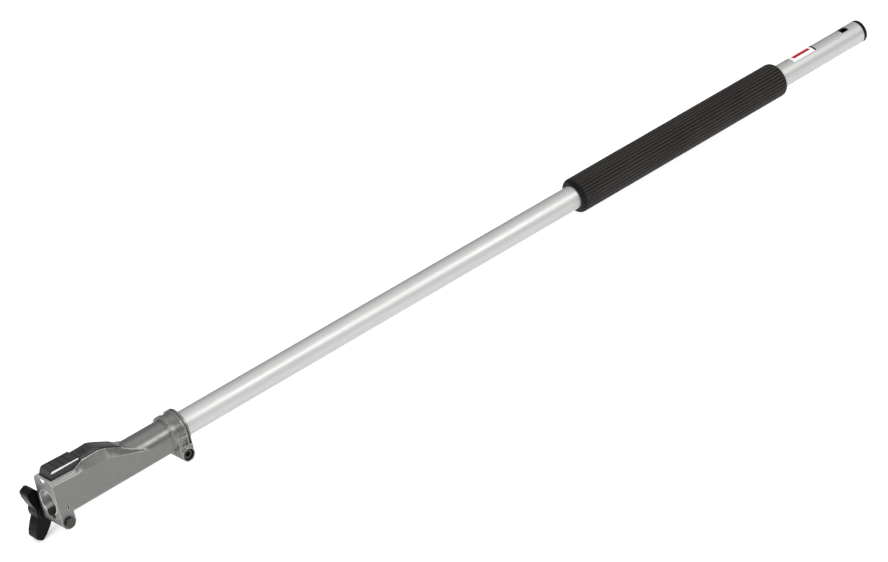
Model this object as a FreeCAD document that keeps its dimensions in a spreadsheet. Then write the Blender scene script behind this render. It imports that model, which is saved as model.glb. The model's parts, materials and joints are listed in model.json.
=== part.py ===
import FreeCAD, Part
import Sketcher
import math
import os

# Extension pole of a pole tool: a cast coupler with a quick latch and a knob
# clamp at the front, a plain aluminium tube with a ribbed foam grip, and a
# plug end that goes into the power head.  A solid drive shaft runs inside.
#
# Frame: millimetres.  Origin at the centre of the socket mouth, +X along the
# pole towards the plug end, +Z up through the release button, +Y towards the
# clamp knob.

V = FreeCAD.Vector
os.makedirs("parts", exist_ok=True)
doc = FreeCAD.newDocument("extension_pole")
sheet = doc.addObject("Spreadsheet::Sheet", "Dims")
_row = [0]
VAL = {}


def cell(alias, value):
    _row[0] += 1
    a = "A%d" % _row[0]
    b = "B%d" % _row[0]
    sheet.set(a, alias)
    sheet.set(b, repr(float(value)))
    sheet.setAlias(b, alias)
    VAL[alias] = float(value)
    return alias


def E(x):
    # an expression string: aliases get the sheet's name in front
    if isinstance(x, (int, float)):
        return None
    out, word = "", ""
    for ch in x + " ":
        if ch.isalnum() or ch == "_":
            word += ch
        else:
            if word and word in VAL:
                out += "Dims." + word
            else:
                out += word
            out += ch
            word = ""
    return out.strip()


def num(x):
    if isinstance(x, (int, float)):
        return float(x)
    return float(value_of(x))


def value_of(x):
    # the plain arithmetic of an expression, for first values only
    toks, word = [], ""
    for ch in x + " ":
        if ch.isalnum() or ch in "_.":
            word += ch
        else:
            if word:
                toks.append(VAL[word] if word in VAL else float(word))
                word = ""
            if ch in "+-*/()":
                toks.append(ch)
    pos = [0]

    def factor():
        t_ = toks[pos[0]]
        pos[0] += 1
        if t_ == "-":
            return -factor()
        if t_ == "(":
            v = expr()
            pos[0] += 1
            return v
        return t_

    def term():
        v = factor()
        while pos[0] < len(toks) and toks[pos[0]] in ("*", "/"):
            op = toks[pos[0]]
            pos[0] += 1
            w = factor()
            v = v * w if op == "*" else v / w
        return v

    def expr():
        v = term()
        while pos[0] < len(toks) and toks[pos[0]] in ("+", "-"):
            op = toks[pos[0]]
            pos[0] += 1
            w = term()
            v = v + w if op == "+" else v - w
        return v

    return expr()


def bind(obj, prop, x):
    if isinstance(x, (int, float)):
        o = obj
        parts = prop.strip(".").split(".")
        if len(parts) == 1:
            setattr(o, parts[0], float(x))
        return
    obj.setExpression(prop, E(x))


def place(obj, x, y, z, rot=None):
    obj.Placement = FreeCAD.Placement(V(num(x), num(y), num(z)), rot or FreeCAD.Rotation())
    for ax, v in (("x", x), ("y", y), ("z", z)):
        if not isinstance(v, (int, float)):
            obj.setExpression(".Placement.Base." + ax, E(v))


ROT = {"X": FreeCAD.Rotation(V(0, 1, 0), 90), "Y": FreeCAD.Rotation(V(1, 0, 0), -90), "Z": FreeCAD.Rotation()}


def cyl(name, rad, length, x, y, z, axis="X"):
    o = doc.addObject("Part::Cylinder", name)
    bind(o, "Radius", rad)
    bind(o, "Height", length)
    place(o, x, y, z, ROT[axis])
    return o


def cone(name, ra, rb, length, x, y, z, axis="X"):
    o = doc.addObject("Part::Cone", name)
    bind(o, "Radius1", ra)
    bind(o, "Radius2", rb)
    bind(o, "Height", length)
    place(o, x, y, z, ROT[axis])
    return o


def box(name, x, y, z, lx, ly, lz):
    o = doc.addObject("Part::Box", name)
    bind(o, "Length", lx)
    bind(o, "Width", ly)
    bind(o, "Height", lz)
    place(o, x, y, z)
    return o


def fuse(name, shapes):
    o = doc.addObject("Part::MultiFuse", name)
    o.Shapes = shapes
    o.Refine = True
    return o


def cut(name, base, tools):
    if len(tools) > 1:
        t_ = doc.addObject("Part::MultiFuse", name + "_tools")
        t_.Shapes = tools
    else:
        t_ = tools[0]
    o = doc.addObject("Part::Cut", name)
    o.Base = base
    o.Tool = t_
    o.Refine = True
    return o


def common(name, a, b):
    o = doc.addObject("Part::Common", name)
    o.Base = a
    o.Tool = b
    return o


def body(name):
    return doc.addObject("PartDesign::Body", name)


def plane(b, role):
    return [o for o in b.Origin.OriginFeatures if o.Role == role][0]


def sketch(b, name, role, offset=0.0):
    s = b.newObject("Sketcher::SketchObject", name)
    s.AttachmentSupport = [(plane(b, role), "")]
    s.MapMode = "FlatFace"
    s.AttachmentOffset = FreeCAD.Placement(V(0, 0, num(offset)), FreeCAD.Rotation())
    if not isinstance(offset, (int, float)):
        s.setExpression(".AttachmentOffset.Base.z", E(offset))
    return s


def dim(s, kind, geo, pt, value):
    # a signed distance from the sketch origin to a vertex
    i = s.addConstraint(Sketcher.Constraint(kind, -1, 1, geo, pt, num(value)))
    if not isinstance(value, (int, float)):
        s.setExpression("Constraints[%d]" % i, E(value))


def poly(s, pts):
    # closed outline through the points, each vertex dimensioned from the origin
    n = len(pts)
    xy = [(num(a), num(b)) for a, b in pts]
    base = s.GeometryCount
    for i in range(n):
        a, c = xy[i], xy[(i + 1) % n]
        s.addGeometry(Part.LineSegment(V(a[0], a[1], 0), V(c[0], c[1], 0)), False)
    for i in range(n):
        s.addConstraint(Sketcher.Constraint("Coincident", base + i, 2, base + (i + 1) % n, 1))
    for i in range(n):
        dim(s, "DistanceX", base + i, 1, pts[i][0])
        dim(s, "DistanceY", base + i, 1, pts[i][1])


def circle(s, rad, cx=0.0, cy=0.0):
    g = s.addGeometry(Part.Circle(V(num(cx), num(cy), 0), V(0, 0, 1), num(rad)), False)
    i = s.addConstraint(Sketcher.Constraint("Radius", g, num(rad)))
    if not isinstance(rad, (int, float)):
        s.setExpression("Constraints[%d]" % i, E(rad))
    if cx == 0.0 and cy == 0.0:
        s.addConstraint(Sketcher.Constraint("Coincident", g, 3, -1, 1))
    else:
        dim(s, "DistanceX", g, 3, cx)
        dim(s, "DistanceY", g, 3, cy)
    return g


def pad(b, name, s, length, symmetric=False, rev=False):
    p = b.newObject("PartDesign::Pad", name)
    p.Profile = s
    p.Length = num(length)
    if not isinstance(length, (int, float)):
        p.setExpression("Length", E(length))
    if symmetric:
        p.SideType = "Symmetric"
    p.Reversed = rev
    b.Tip = p
    return p


def pocket(b, name, s, length, rev=False, symmetric=False):
    p = b.newObject("PartDesign::Pocket", name)
    p.Profile = s
    p.Length = num(length)
    if not isinstance(length, (int, float)):
        p.setExpression("Length", E(length))
    if symmetric:
        p.SideType = "Symmetric"
    p.Reversed = rev
    b.Tip = p
    return p


def revolve(name, pts, role="XZ_Plane"):
    # a turned part: half section in the XZ plane, turned about the X axis
    b = body(name)
    s = sketch(b, name + "_section", role)
    poly(s, pts)
    r = b.newObject("PartDesign::Revolution", name + "_turned")
    r.Profile = s
    r.ReferenceAxis = (plane_axis(b, "X_Axis"), [""])
    r.Angle = 360.0
    b.Tip = r
    return b


def plane_axis(b, role):
    return [o for o in b.Origin.OriginFeatures if o.Role == role][0]


NODES = []


def node(obj, label, limit=None):
    obj.Label = label
    NODES.append(obj)
    return obj


# ------------------------------------------------------------------ dimensions
# tube and socket
cell("tube_rad", 12.7)
cell("plug_rad", 12.5)
cell("tube_bore_rad", 11.1)
cell("tube_start", 86.0)
cell("tube_end", 1088.0)
cell("mark_x", 1018.6)
cell("mark_wide", 2.4)
cell("cap_rad", 12.5)
cell("cap_thick", 4.7)
cell("socket_rad", 12.65)
cell("socket_len", 66.0)
cell("socket_land", 40.8)
cell("latch_x", 45.8)
cell("hole_x", 1067.8)
cell("hole_side", 10.4)
# coupler casting
cell("side_half", 15.6)
cell("corner_rad", 7.8)
cell("barrel_rad", 15.6)
cell("casting_len", 153.0)
cell("lug_x", 7.8)
cell("lug_z", -20.5)
cell("lug_rad", 7.3)
cell("slit_half", 1.0)
cell("slit_len", 46.0)
cell("channel_half", 7.0)
cell("channel_z", -17.0)
cell("channel_len", 40.0)
cell("ear_x", 145.3)
cell("ear_z", -20.6)
cell("ear_rad", 7.2)
cell("ear_near", 19.5)
cell("ear_far", 16.0)
cell("rib_rad", 18.5)
cell("band_rad", 18.0)
cell("flange_rad", 19.1)
cell("collar_gap_rad", 16.9)
# casting hump stations: x, half width and height of the top, half width and
# height of the shoulder, height of the bevel between them
HUMP = [(0.0, 12.4, 25.6, 15.3, 22.2, 1.3),
        (29.0, 11.8, 24.6, 15.35, 20.8, 1.3),
        (38.7, 11.2, 29.0, 15.35, 20.4, 1.3),
        (58.0, 10.4, 28.7, 15.3, 19.4, 1.3),
        (67.0, 9.9, 26.2, 15.25, 17.6, 1.3),
        (83.0, 8.4, 17.8, 15.2, 12.5, 1.3),
        (88.0, 9.3, 15.1, 15.3, 10.6, 1.2),
        (99.0, 12.5, 9.6, 15.5, 7.2, 0.8),
        (104.5, 14.1, 6.9, 15.55, 5.2, 0.5),
        (109.0, 15.2, 4.0, 15.6, 3.2, 0.2)]
for i, (a, b_, c, d, e, f_) in enumerate(HUMP):
    cell("hump_x_%d" % i, a)
    cell("hump_tw_%d" % i, b_)
    cell("hump_tz_%d" % i, c)
    cell("hump_sw_%d" % i, d)
    cell("hump_sz_%d" % i, e)
    cell("hump_bv_%d" % i, f_)
# latch cover stations: x, half width and height of the foot, of the crown
COVER = [(38.9, 9.9, 28.6, 8.5, 31.0),
         (50.5, 9.6, 28.8, 8.0, 31.45),
         (56.0, 9.4, 28.7, 7.7, 32.0),
         (60.5, 9.2, 27.9, 7.5, 30.5),
         (67.0, 9.1, 26.1, 7.3, 27.6),
         (79.5, 8.3, 19.5, 6.9, 21.4),
         (84.6, 8.0, 16.9, 6.8, 17.6)]
for i, (a, b_, c, d, e) in enumerate(COVER):
    cell("cover_x_%d" % i, a)
    cell("cover_fw_%d" % i, b_)
    cell("cover_fz_%d" % i, c)
    cell("cover_cw_%d" % i, d)
    cell("cover_cz_%d" % i, e)
# release mechanism
cell("pivot_x", 33.0)
cell("pivot_z", 21.8)
cell("pivot_rad", 1.5)
cell("pocket_floor", 17.2)
cell("button_half", 9.8)
cell("button_pocket_half", 10.2)
cell("cover_pocket_half", 7.6)
cell("tooth_side", 9.4)
cell("tooth_low", 10.8)
cell("tooth_top", 17.5)
cell("pin_flange_z", 20.7)
cell("pin_flange_rad", 4.5)
cell("pin_neck_rad", 2.2)
cell("pin_stem_rad", 1.3)
cell("lever_z", 18.6)
cell("lever_thick", 1.6)
cell("spring_rad", 3.2)
cell("spring_wire", 0.7)
cell("spring_turns", 4.5)
# clamp at the mouth
cell("bolt_rad", 3.0)
cell("bolt_head_flat", 10.0)
cell("bolt_head_high", 2.8)
cell("washer_rad", 6.8)
cell("washer_thick", 1.6)
cell("knob_reach", 30.2)
cell("knob_near", 20.2)
cell("knob_far", 33.4)
# drive line
cell("shaft_rad", 3.5)
cell("coupling_rad", 6.0)
cell("bearing_x", 76.0)
cell("bearing_wide", 6.0)
cell("bearing_out", 9.5)
cell("ball_rad", 1.75)
cell("ball_pitch", 6.5)
# grip
cell("grip_start", 665.0)
cell("grip_end", 963.5)
cell("grip_rad", 18.95)
cell("grip_round", 4.6)
doc.recompute()

# --------------------------------------------------------------- coupler casting
# Trunk: flat sides, half-round top, rounded lower corners.
trunk_b = body("CastingTrunk")
sk = sketch(trunk_b, "trunk_section", "YZ_Plane")
hw, rc = VAL["side_half"], VAL["corner_rad"]
g = []
g.append(sk.addGeometry(Part.LineSegment(V(-hw, 0, 0), V(-hw, -(hw - rc), 0)), False))
g.append(sk.addGeometry(Part.ArcOfCircle(Part.Circle(V(-(hw - rc), -(hw - rc), 0), V(0, 0, 1), rc), math.pi, 1.5 * math.pi), False))
g.append(sk.addGeometry(Part.LineSegment(V(-(hw - rc), -hw, 0), V(hw - rc, -hw, 0)), False))
g.append(sk.addGeometry(Part.ArcOfCircle(Part.Circle(V(hw - rc, -(hw - rc), 0), V(0, 0, 1), rc), 1.5 * math.pi, 2 * math.pi), False))
g.append(sk.addGeometry(Part.LineSegment(V(hw, -(hw - rc), 0), V(hw, 0, 0)), False))
g.append(sk.addGeometry(Part.ArcOfCircle(Part.Circle(V(0, 0, 0), V(0, 0, 1), hw), 0, math.pi), False))
C = Sketcher.Constraint
sk.addConstraint([C("Tangent", g[0], 2, g[1], 1), C("Tangent", g[1], 2, g[2], 1), C("Tangent", g[2], 2, g[3], 1),
                  C("Tangent", g[3], 2, g[4], 1), C("Tangent", g[4], 2, g[5], 1), C("Coincident", g[5], 2, g[0], 1),
                  C("Vertical", g[0]), C("Horizontal", g[2]), C("Vertical", g[4]), C("Coincident", g[5], 3, -1, 1),
                  C("PointOnObject", g[0], 1, -1), C("Equal", g[1], g[3])])
i = sk.addConstraint(C("Radius", g[5], hw))
sk.setExpression("Constraints[%d]" % i, E("side_half"))
i = sk.addConstraint(C("Radius", g[1], rc))
sk.setExpression("Constraints[%d]" % i, E("corner_rad"))
i = sk.addConstraint(C("DistanceY", g[2], 1, -1, 1, hw))
sk.setExpression("Constraints[%d]" % i, E("side_half"))
pad(trunk_b, "trunk_pad", sk, 137.0)

# Hump over the latch: a ruled loft through its sections.
hump_b = body("CastingHump")
secs = []
for i in range(len(HUMP)):
    s = sketch(hump_b, "hump_section_%d" % i, "YZ_Plane", "hump_x_%d" % i)
    tw, tz, sw, sz, bv = ["hump_%s_%d" % (k, i) for k in ("tw", "tz", "sw", "sz", "bv")]
    poly(s, [("-side_half", -1.0), ("-" + sw, sz), ("-" + tw + " - " + bv + " * 0.45", tz + " - " + bv), ("-" + tw, tz),
             (tw, tz), (tw + " + " + bv + " * 0.45", tz + " - " + bv), (sw, sz), ("side_half", -1.0)])
    secs.append(s)
lo = hump_b.newObject("PartDesign::AdditiveLoft", "hump_loft")
lo.Profile = secs[0]
lo.Sections = secs[1:]
lo.Ruled = True
hump_b.Tip = lo

# Front clamp lugs and the rear collar with its screw ear.
lug = fuse("LugBlock", [
    cyl("lug_round", "lug_rad", "2 * side_half", "lug_x", "-side_half", "lug_z", "Y"),
    box("lug_web", "lug_x - lug_rad", "-side_half", "lug_z", "2 * lug_rad", "2 * side_half", "-lug_z - 6"),
])
barrel = cyl("barrel", "barrel_rad", "72", 80, 0, 0)
collar = fuse("CollarRings", [
    cyl("collar_rib", "rib_rad", 4.4, 136.0, 0, 0),
    cyl("collar_neck", "collar_gap_rad", 8.0, 135.0, 0, 0),
    cone("collar_band", 17.0, "band_rad", 6.5, 141.8, 0, 0),
    cyl("collar_flange", "flange_rad", "casting_len - 148.2", 148.2, 0, 0),
])
ear = fuse("EarBlock", [
    cyl("ear_round", "ear_rad", "ear_near + ear_far", "ear_x", "-ear_near", "ear_z", "Y"),
    box("ear_flat", "ear_x - ear_rad", "-ear_near + 0.8", "ear_z", "2 * ear_rad", "ear_near - 0.8 + ear_far", "-ear_z - 11"),
    box("ear_flat_near", "ear_x - ear_rad", "-ear_near + 0.8", "ear_z", "2 * ear_rad", "8.7", "-ear_z"),
    box("ear_web_far", "ear_x - ear_rad", "-12", "-14", "2 * ear_rad", "26", "8"),
])
casting = fuse("CastingSolid", [trunk_b, hump_b, lug, barrel, collar, ear])
tools = [
    cyl("socket_front_land", "socket_rad", "socket_land + 1", -1, 0, 0),
    cyl("socket_relief", "socket_rad + 0.35", "socket_len - socket_land - 14", "socket_land", 0, 0),
    cyl("socket_rear_land", "socket_rad", "14.1", "socket_len - 14.1", 0, 0),
    cyl("coupling_passage", 7.6, "bearing_x - socket_len + 0.1", "socket_len - 0.1", 0, 0),
    cyl("bearing_seat", "bearing_out", "tube_start - bearing_x + 0.1", "bearing_x", 0, 0),
    cyl("circlip_groove", "bearing_out + 0.6", 1.2, "bearing_x + bearing_wide + 0.1", 0, 0),
    cyl("tube_seat", "tube_rad + 0.04", "casting_len - tube_start + 1", "tube_start", 0, 0),
    box("relief_channel", -1, "-channel_half", "channel_z", "channel_len + 1", "2 * channel_half", "-channel_z - 6"),
    box("front_slit", -1, "-slit_half", -40, "slit_len + 1", "2 * slit_half", 30),
    cyl("clamp_bolt_hole", 3.25, 60, "lug_x", -30, "lug_z", "Y"),
    box("rear_slit", 112, -1.1, -40, 60, 2.2, 30),
    cyl("collar_screw_hole", 3.25, 40, "ear_x", "-ear_near - 1", "ear_z", "Y"),
    cyl("collar_counterbore", 6.1, 7.5, "ear_x", "-ear_near - 1", "ear_z", "Y"),
    box("button_pocket", 3.2, "-button_pocket_half", "pocket_floor", 35.6, "2 * button_pocket_half", 30),
    box("mechanism_pocket", 36, "-cover_pocket_half", "pocket_floor", 22.5, "2 * cover_pocket_half", 30),
    box("latch_window", "latch_x - tooth_side / 2 - 0.2", "-tooth_side / 2 - 0.2", 8, "tooth_side + 0.4", "tooth_side + 0.4", 12),
    cyl("pivot_hole", "pivot_rad + 0.02", 30, "pivot_x", -12.8, "pivot_z", "Y"),
    box("side_mark_slot", 9.8, -17, -7.8, 1.8, 2.5, 4.7),
    box("ear_recess", 141.5, -21, -11, 6.5, 4.0, 7.5),
]
# the alignment triangle lies in a shallow recess of the mouth face
tri_b = body("TriangleRecess")
s = sketch(tri_b, "tri_recess_outline", "YZ_Plane", -1.0)
poly(s, [(-4.1, 25.2), (4.1, 25.2), (0.0, 20.4)])
pad(tri_b, "tri_recess_pad", s, 1.2)
tools.append(tri_b)
# thin groove round the end flange, opening into a wedge on the near side
wedge_b = body("FlangeWedge")
s = sketch(wedge_b, "flange_wedge_outline", "XZ_Plane", 16.4)
poly(s, [(149.7, 6.5), (150.9, 6.5), (152.1, -11.5), (149.2, -11.5)])
pad(wedge_b, "flange_wedge_pad", s, 9.0)
tools.append(wedge_b)
tools.append(common("flange_groove", cut("flange_groove_ring", cyl("flange_groove_out", 25, 1.2, 149.7, 0, 0), [cyl("flange_groove_in", 17.8, 4, 148, 0, 0)]),
                    box("flange_groove_reach", 140, -30, -11.5, 20, 60, 50)))
housing = cut("CastingMachined", casting, tools)
doc.recompute()


def edges_where(shape, test):
    out = []
    for i, e in enumerate(shape.Edges):
        try:
            if test(e):
                out.append(i + 1)
        except Exception:
            pass
    return out


node(housing, "coupler_housing")

mark_b = body("AlignmentMark")
s = sketch(mark_b, "mark_outline", "YZ_Plane", 0.0)
poly(s, [(-4.0, 25.1), (4.0, 25.1), (0.0, 20.5)])
pad(mark_b, "mark_pad", s, 0.2)
node(mark_b, "alignment_mark")

# --------------------------------------------------------------------- the pole
tube_b = body("OuterTube")
s = sketch(tube_b, "tube_section", "XZ_Plane")
poly(s, [("tube_start", "tube_bore_rad"), ("tube_end", "tube_bore_rad"), ("tube_end", "plug_rad - 0.35"), ("tube_end - 0.35", "plug_rad"),
         ("mark_x + mark_wide", "plug_rad"), ("mark_x + mark_wide", "tube_rad"), ("tube_start", "tube_rad")])
r = tube_b.newObject("PartDesign::Revolution", "tube_turned")
r.Profile = s
r.ReferenceAxis = (plane_axis(tube_b, "X_Axis"), [""])
r.Angle = 360.0
tube_b.Tip = r
doc.recompute()
s = sketch(tube_b, "latch_hole_outline", "XY_Plane", 6.0)
poly(s, [("hole_x - hole_side / 2", "-hole_side / 2"), ("hole_x + hole_side / 2", "-hole_side / 2"),
         ("hole_x + hole_side / 2", "hole_side / 2"), ("hole_x - hole_side / 2", "hole_side / 2")])
pocket(tube_b, "latch_hole", s, 10.0, rev=True)
node(tube_b, "outer_tube")

grip_b = body("FoamGrip")
s = sketch(grip_b, "grip_section", "XZ_Plane")
poly(s, [("grip_start", "tube_rad"), ("grip_end", "tube_rad"), ("grip_end", "grip_rad"), ("grip_start", "grip_rad")])
r = grip_b.newObject("PartDesign::Revolution", "grip_turned")
r.Profile = s
r.ReferenceAxis = (plane_axis(grip_b, "X_Axis"), [""])
r.Angle = 360.0
grip_b.Tip = r
doc.recompute()
fl = grip_b.newObject("PartDesign::Fillet", "grip_rounds")
outer = ["Edge%d" % n for n in edges_where(r.Shape, lambda e: e.Curve.TypeId == "Part::GeomCircle" and abs(e.Curve.Radius - VAL["grip_rad"]) < 1e-4)]
fl.Base = (r, outer)
fl.Radius = VAL["grip_round"]
fl.setExpression("Radius", E("grip_round"))
grip_b.Tip = fl
node(grip_b, "foam_grip")

cap = revolve("EndCap", [("tube_end", "0"), ("tube_end + cap_thick", "0"), ("tube_end + cap_thick", "cap_rad - 0.9"), ("tube_end + cap_thick - 0.3", "cap_rad - 0.3"),
                         ("tube_end + cap_thick - 0.9", "cap_rad"), ("tube_end + 0.35", "cap_rad"), ("tube_end + 0.05", "cap_rad - 0.3"), ("tube_end + 0.05", "tube_bore_rad - 0.1"),
                         ("tube_end - 11", "tube_bore_rad - 0.1"), ("tube_end - 12", "tube_bore_rad - 0.9"), ("tube_end - 12", "tube_bore_rad - 1.9"),
                         ("tube_end", "tube_bore_rad - 1.9")])
node(cap, "end_cap")

# printed parts on the tube: 60 degree wide strips
label = cut("LabelSkin", common("LabelBand", cyl("label_outer", "tube_rad + 0.15", 31.5, 987.0, 0, 0),
                                box("label_width", 980, "-tube_rad / 2", 5, 45, "tube_rad", 12)),
            [cyl("label_inner", "tube_rad", 60, 975, 0, 0)])
node(label, "spec_label")
mark = cut("MarkSkin", common("MarkBand", cyl("mark_outer", "tube_rad + 0.1", "mark_wide - 0.1", "mark_x", 0, 0),
                              box("mark_width", 1010, "-tube_rad / 2", 5, 20, "tube_rad", 12)),
           [cyl("mark_inner", "tube_rad", 30, 1005, 0, 0)])
node(mark, "insertion_mark")

# ---------------------------------------------------------------- the drive line
shaft = cut("ShaftSolid", fuse("ShaftBlank", [
    cyl("shaft_round", "shaft_rad", "1064 - 64", 64, 0, 0),
    box("shaft_square", 1063, -2.45, -2.45, 17, 4.9, 4.9),
]), [
    cut("shaft_groove_tool", cyl("groove_out", 5, 0.9, "bearing_x + bearing_wide + 0.05", 0, 0),
        [cyl("groove_in", 3.2, 4, "bearing_x + bearing_wide - 1", 0, 0)]),
    cyl("shaft_pin_hole", 1.25, 20, 70, 0, -10, "Z"),
])
node(shaft, "drive_shaft")
coupling = cut("CouplingSolid", cyl("coupling_blank", "coupling_rad", "bearing_x - 50.1", 50, 0, 0), [
    box("coupling_square", 49, -2.6, -2.6, 14, 5.2, 5.2),
    cyl("coupling_bore", "shaft_rad", 20, 63, 0, 0),
    cone("coupling_lead", 4.4, 2.9, 1.5, 49.999, 0, 0),
    cyl("coupling_pin_hole", 1.25, 20, 70, 0, -10, "Z"),
    cut("coupling_edge_tool", cyl("edge_out", 8, 1.0, 49.9, 0, 0), [cone("edge_in", 5.1, 6.1, 1.0, 49.9, 0, 0)]),
])
node(coupling, "drive_coupling")
node(cyl("CouplingPin", 1.25, 11.6, 70, 0, -5.8, "Z"), "coupling_pin")

race_out = revolve("OuterRace", [("bearing_x", 8.0), ("bearing_x + bearing_wide", 8.0), ("bearing_x + bearing_wide", "bearing_out - 0.3"),
                                 ("bearing_x + bearing_wide - 0.3", "bearing_out"), ("bearing_x + 0.3", "bearing_out"), ("bearing_x", "bearing_out - 0.3")])
race_in = revolve("InnerRace", [("bearing_x", "shaft_rad"), ("bearing_x + bearing_wide", "shaft_rad"), ("bearing_x + bearing_wide", 5.0), ("bearing_x", 5.0)])
doc.recompute()


def groove_torus(name):
    t_ = doc.addObject("Part::Torus", name)
    t_.setExpression("Radius1", E("ball_pitch"))
    t_.setExpression("Radius2", E("ball_rad + 0.09"))
    place(t_, "bearing_x + bearing_wide / 2", 0, 0, ROT["X"])
    return t_


node(cut("OuterRaceGround", race_out, [groove_torus("outer_track")]), "bearing_outer_race")
node(cut("InnerRaceGround", race_in, [groove_torus("inner_track")]), "bearing_inner_race")
balls = []
for k in range(7):
    b_ = doc.addObject("Part::Sphere", "ball_%d" % k)
    bind(b_, "Radius", "ball_rad")
    a = 2 * math.pi * k / 7
    place(b_, "bearing_x + bearing_wide / 2", "ball_pitch * %.6f" % math.cos(a) if math.cos(a) >= 0 else "-ball_pitch * %.6f" % -math.cos(a),
          "ball_pitch * %.6f" % math.sin(a) if math.sin(a) >= 0 else "-ball_pitch * %.6f" % -math.sin(a))
    balls.append(b_)
comp = doc.addObject("Part::Compound", "BallSet")
comp.Links = balls
node(comp, "bearing_balls")
ring = cut("RetainingRing", cyl("ring_out", "bearing_out + 0.55", 1.0, "bearing_x + bearing_wide + 0.15", 0, 0), [
    cyl("ring_in", 8.3, 3, "bearing_x + bearing_wide - 1", 0, 0),
    box("ring_gap", "bearing_x + bearing_wide - 1", -2.2, -14, 4, 4.4, 12),
])
node(ring, "bearing_retaining_ring")
clip = cut("ShaftClip", cyl("clip_out", 5.3, 0.8, "bearing_x + bearing_wide + 0.1", 0, 0), [
    cyl("clip_in", 3.2, 3, "bearing_x + bearing_wide - 1", 0, 0),
    box("clip_gap", "bearing_x + bearing_wide - 1", -1.8, 1, 4, 3.6, 12),
])
node(clip, "shaft_circlip")

carriers, bushes = [], []
for k, xc in enumerate((280.0, 530.0, 780.0, 1030.0)):
    a = cell("bush_x_%d" % k, xc)
    c_ = revolve("Carrier%d" % k, [(a + " - 12", 5.5), (a + " + 12", 5.5), (a + " + 12", "tube_bore_rad - 0.03"), (a + " + 8.5", "tube_bore_rad - 0.03"),
                                  (a + " + 7", 8.6), (a + " - 7", 8.6), (a + " - 8.5", "tube_bore_rad - 0.03"), (a + " - 12", "tube_bore_rad - 0.03")])
    carriers.append(c_)
    bushes.append(revolve("Bush%d" % k, [(a + " - 9", "shaft_rad + 0.06"), (a + " + 9", "shaft_rad + 0.06"), (a + " + 9", 5.5), (a + " - 9", 5.5)]))
comp = doc.addObject("Part::Compound", "CarrierSet")
comp.Links = carriers
node(comp, "bushing_carriers")
comp = doc.addObject("Part::Compound", "BushSet")
comp.Links = bushes
node(comp, "shaft_bushings")

# -------------------------------------------------------------- release mechanism
btn = body("ReleaseButton")
s = sketch(btn, "button_profile", "XZ_Plane")
poly(s, [(4.3, 22.9), (4.0, 26.2), (6.3, 32.6), (7.3, 33.5), (36.2, 32.5), (37.6, 31.9), (38.0, 30.4), (37.3, 26.0), (36.8, 20.3), (29.0, 20.25), (26.0, 20.6)])
bp = pad(btn, "button_pad", s, "2 * button_half", symmetric=True)
doc.recompute()
ch = btn.newObject("PartDesign::Chamfer", "button_side_bevels")
ch.Base = (bp, ["Edge%d" % n for n in edges_where(bp.Shape, lambda e: len(e.Vertexes) == 2
                and all(abs(abs(v.Y) - VAL["button_half"]) < 1e-4 and v.Z > 32.0 for v in e.Vertexes) and abs(e.Vertexes[0].X - e.Vertexes[1].X) > 0.5)])
ch.Size = 1.2
btn.Tip = ch
doc.recompute()
s = sketch(btn, "button_groove_profile", "XZ_Plane")
for xg, floor_z in ((13.9, 32.65), (21.0, 32.4), (28.1, 32.15)):
    poly(s, [(xg, floor_z), (xg + 1.2, floor_z), (xg + 1.5, 34.5), (xg - 0.3, 34.5)])
pocket(btn, "button_grooves", s, 30.0, symmetric=True)
doc.recompute()
s = sketch(btn, "button_plate_slot", "XZ_Plane")
poly(s, [(25.9, 20.1), (27.7, 20.1), (27.7, 26.2), (25.9, 26.2)])
pocket(btn, "button_tab_slot", s, 10.2, symmetric=True)
doc.recompute()
btn_holed = cut("ButtonHoled", btn, [
    cyl("button_pivot_hole", "pivot_rad + 0.08", 40, "pivot_x", -20, "pivot_z", "Y"),
    box("button_lever_room", 28.4, -6.3, 20.1, 20, 12.6, 4.4),
])
node(btn_holed, "release_button")

lever = cut("LeverSolid", fuse("LeverBlank", [
    box("lever_plate", 26.0, -5, "lever_z", 21.0, 10, "lever_thick"),
    box("lever_tab", 26.0, -5, "lever_z", 1.6, 10, 7.4),
    box("lever_cheek_near", 29.0, -6.2, "lever_z", 8.0, 1.6, 5.6),
    box("lever_cheek_far", 29.0, 4.6, "lever_z", 8.0, 1.6, 5.6),
]), [
    box("lever_fork", 42.6, -2.6, 17, 8, 5.2, 6),
    cyl("lever_pivot_hole", "pivot_rad + 0.08", 20, "pivot_x", -10, "pivot_z", "Y"),
])
node(lever, "latch_lever")
node(cyl("PivotPin", "pivot_rad", 27.0, "pivot_x", -12.7, "pivot_z", "Y"), "latch_pivot_pin")

blank = fuse("LatchBlank", [
    box("tooth_block", "latch_x - tooth_side / 2", "-tooth_side / 2", "tooth_low", "tooth_side", "tooth_side", "tooth_top - tooth_low"),
    cyl("pin_neck", "pin_neck_rad", "pin_flange_z - tooth_top + 0.4", "latch_x", 0, "tooth_top - 0.2", "Z"),
    cyl("pin_flange", "pin_flange_rad", 1.4, "latch_x", 0, "pin_flange_z", "Z"),
    cyl("pin_stem", "pin_stem_rad", 10.0, "latch_x", 0, "pin_flange_z", "Z"),
])
ramp = doc.addObject("Part::Wedge", "tooth_ramp")
ramp.Xmin, ramp.Ymin, ramp.Zmin, ramp.X2min, ramp.Z2min = 0, 0, 0, 0, 0
ramp.Xmax, ramp.Ymax, ramp.Zmax, ramp.X2max, ramp.Z2max = 2.2, 2.2, 10, 0, 10
# the wedge's slope cuts the entry edge of the tooth, where an arriving tube lifts it
ramp.Placement = FreeCAD.Placement(V(VAL["latch_x"] - VAL["tooth_side"] / 2 - 0.001, 5, VAL["tooth_low"] - 0.001), FreeCAD.Rotation(V(1, 0, 0), 90))
ramp.setExpression(".Placement.Base.x", E("latch_x - tooth_side / 2 - 0.001"))
node(cut("LatchPinCut", blank, [ramp]), "latch_pin")

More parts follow.
